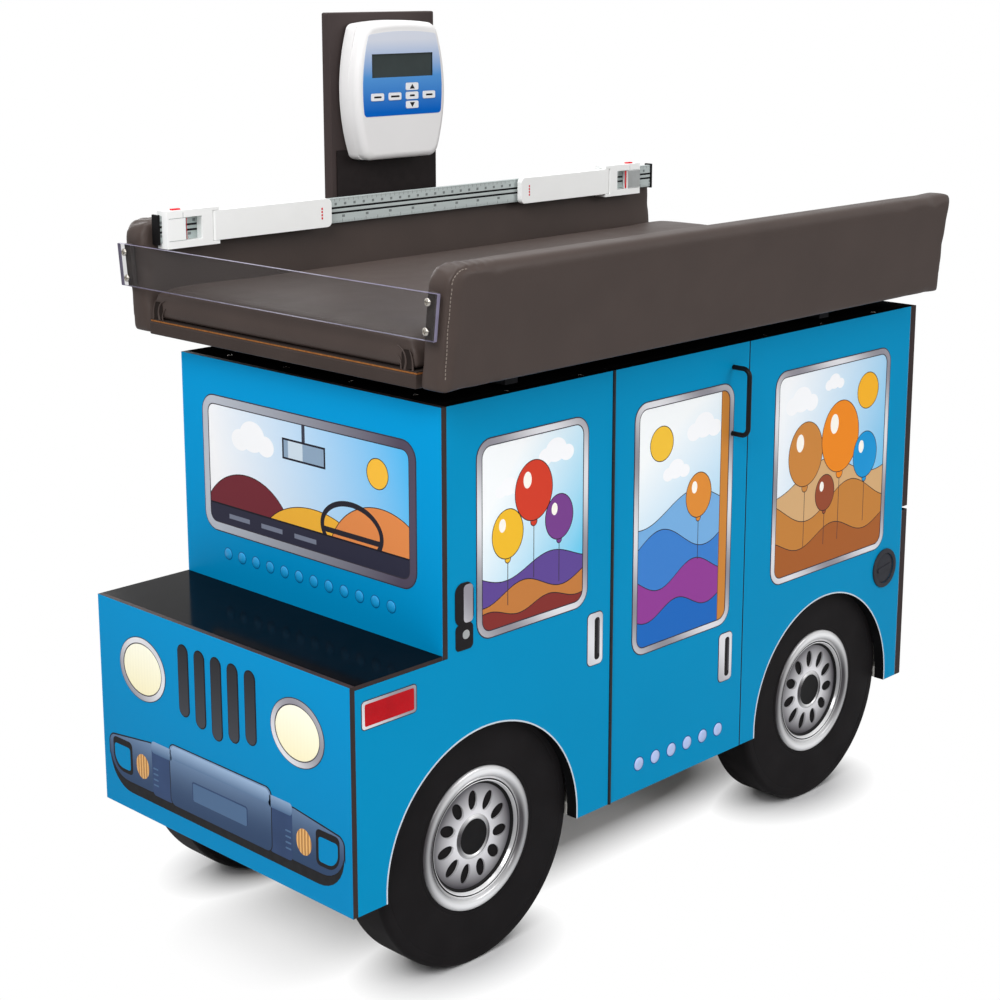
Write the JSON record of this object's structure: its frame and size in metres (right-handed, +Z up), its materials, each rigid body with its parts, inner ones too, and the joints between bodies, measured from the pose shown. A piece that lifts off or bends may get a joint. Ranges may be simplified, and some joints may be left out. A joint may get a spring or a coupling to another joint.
{
  "type": "infant scale table",
  "caption": "Infant scale table shaped as a toy bus: padded weighing tray with folding length rod and display head on a cabinet with side door and rear drawers.",
  "frame": {"origin": "centre of the whole object's bounding box, at the floor under the wheels", "axes": "+X from the hood towards the drawers, +Y from the door side towards the rod side, +Z up"},
  "size_m": [1.332, 0.7268, 1.315],
  "materials": {
    "side_laminate": "satin",
    "front_laminate": "satin",
    "black_laminate": "gloss",
    "carcass_board": "satin",
    "plywood": "matte",
    "wheel_black": "matte",
    "wheel_chrome": "polished",
    "black_metal": "satin",
    "steel": "satin",
    "rail_aluminium": "satin",
    "upholstery": "satin",
    "board_cover": "satin",
    "clear_plastic": "polished",
    "dark_plastic": "satin",
    "rod_plastic": "satin",
    "housing_plastic": "satin",
    "face_film": "gloss",
    "screen_glass": "gloss",
    "circuit_green": "satin",
    "key_white": "satin"
  },
  "bodies": {
    "cabinet": {"near_front_side": "side_laminate", "near_rear_side": "side_laminate", "far_side": "side_laminate", "hood_front": "front_laminate", "windshield_panel": "front_laminate", "hood_top": "black_laminate", "cabinet_top": "black_laminate", "bottom_board": "carcass_board", "front_bulkhead": "carcass_board", "rear_bulkhead": "carcass_board", "wheel_walls": "carcass_board", "shelf": "carcass_board", "shelf_cleats": "carcass_board", "cabinet_runners": "carcass_board", "tray_base": "plywood", "pad_board": "plywood", "bolster_boards": "plywood", "tyre_front_near": "wheel_black", "tyre_front_far": "wheel_black", "tyre_rear_near": "wheel_black", "tyre_rear_far": "wheel_black", "wheel_covers": "wheel_chrome", "mounting_plate": "black_metal", "weigh_beams": "black_metal", "hinge_frame_leaf": "steel", "hinge_pin": "steel", "measuring_rail": "rail_aluminium", "load_cells": "rail_aluminium", "near_bolster": "upholstery", "far_bolster": "upholstery", "tray_pad": "upholstery", "upright_board": "board_cover", "end_stop": "clear_plastic", "end_stop_strips": "dark_plastic", "rail_end_caps": "dark_plastic", "display_front": "housing_plastic", "display_back": "housing_plastic", "display_face": "face_film", "display_screen": "screen_glass", "display_circuit": "circuit_green"},
    "door": {"side_door": "side_laminate", "hinge_door_leaf": "steel", "door_pull": "black_metal"},
    "upper_drawer": {"upper_drawer_front": "side_laminate", "upper_drawer_box": "carcass_board", "upper_drawer_pull": "black_metal"},
    "lower_drawer": {"lower_drawer_front": "side_laminate", "lower_drawer_box": "carcass_board", "lower_drawer_pull": "black_metal"},
    "left_slider": {"left_slider": "rod_plastic"},
    "left_arm": {"left_arm": "rod_plastic"},
    "right_slider": {"right_slider": "rod_plastic"},
    "right_arm": {"right_arm": "rod_plastic"},
    "key_units": {"key_units": "key_white"},
    "key_hold": {"key_hold": "key_white"},
    "key_up": {"key_up": "key_white"},
    "key_enter": {"key_enter": "key_white"},
    "key_down": {"key_down": "key_white"},
    "key_power": {"key_power": "key_white"}
  },
  "joints": [
    {"name": "door_hinge", "type": "hinge", "parent": "cabinet", "child": "door", "pos_m": [-0.155, -0.29115, 0.16], "axis": [0, 0, -1], "range_deg": [0, 110]},
    {"name": "upper_drawer_slide", "type": "slide", "parent": "cabinet", "child": "upper_drawer", "axis": [1, 0, 0], "range_m": [0, 0.3]},
    {"name": "lower_drawer_slide", "type": "slide", "parent": "cabinet", "child": "lower_drawer", "axis": [1, 0, 0], "range_m": [0, 0.3]},
    {"name": "left_slider_slide", "type": "slide", "parent": "cabinet", "child": "left_slider", "axis": [1, 0, 0], "range_m": [0, 0.205]},
    {"name": "left_arm_fold", "type": "hinge", "parent": "left_slider", "child": "left_arm", "pos_m": [-0.432, 0.26652, 1.007], "axis": [0, 0, -1], "range_deg": [0, 90]},
    {"name": "right_slider_slide", "type": "slide", "parent": "cabinet", "child": "right_slider", "axis": [1, 0, 0], "range_m": [-0.205, 0.04]},
    {"name": "right_arm_fold", "type": "hinge", "parent": "right_slider", "child": "right_arm", "pos_m": [0.461, 0.26652, 1.007], "axis": [0, 0, 1], "range_deg": [0, 90]},
    {"name": "key_units_press", "type": "slide", "parent": "cabinet", "child": "key_units", "axis": [0, 1, 0], "range_m": [0, 0.0008], "stiffness_N_per_m": 600},
    {"name": "key_hold_press", "type": "slide", "parent": "cabinet", "child": "key_hold", "axis": [0, 1, 0], "range_m": [0, 0.0008], "stiffness_N_per_m": 600},
    {"name": "key_up_press", "type": "slide", "parent": "cabinet", "child": "key_up", "axis": [0, 1, 0], "range_m": [0, 0.0008], "stiffness_N_per_m": 600},
    {"name": "key_enter_press", "type": "slide", "parent": "cabinet", "child": "key_enter", "axis": [0, 1, 0], "range_m": [0, 0.0008], "stiffness_N_per_m": 600},
    {"name": "key_down_press", "type": "slide", "parent": "cabinet", "child": "key_down", "axis": [0, 1, 0], "range_m": [0, 0.0008], "stiffness_N_per_m": 600},
    {"name": "key_power_press", "type": "slide", "parent": "cabinet", "child": "key_power", "axis": [0, 1, 0], "range_m": [0, 0.0008], "stiffness_N_per_m": 600}
  ]
}
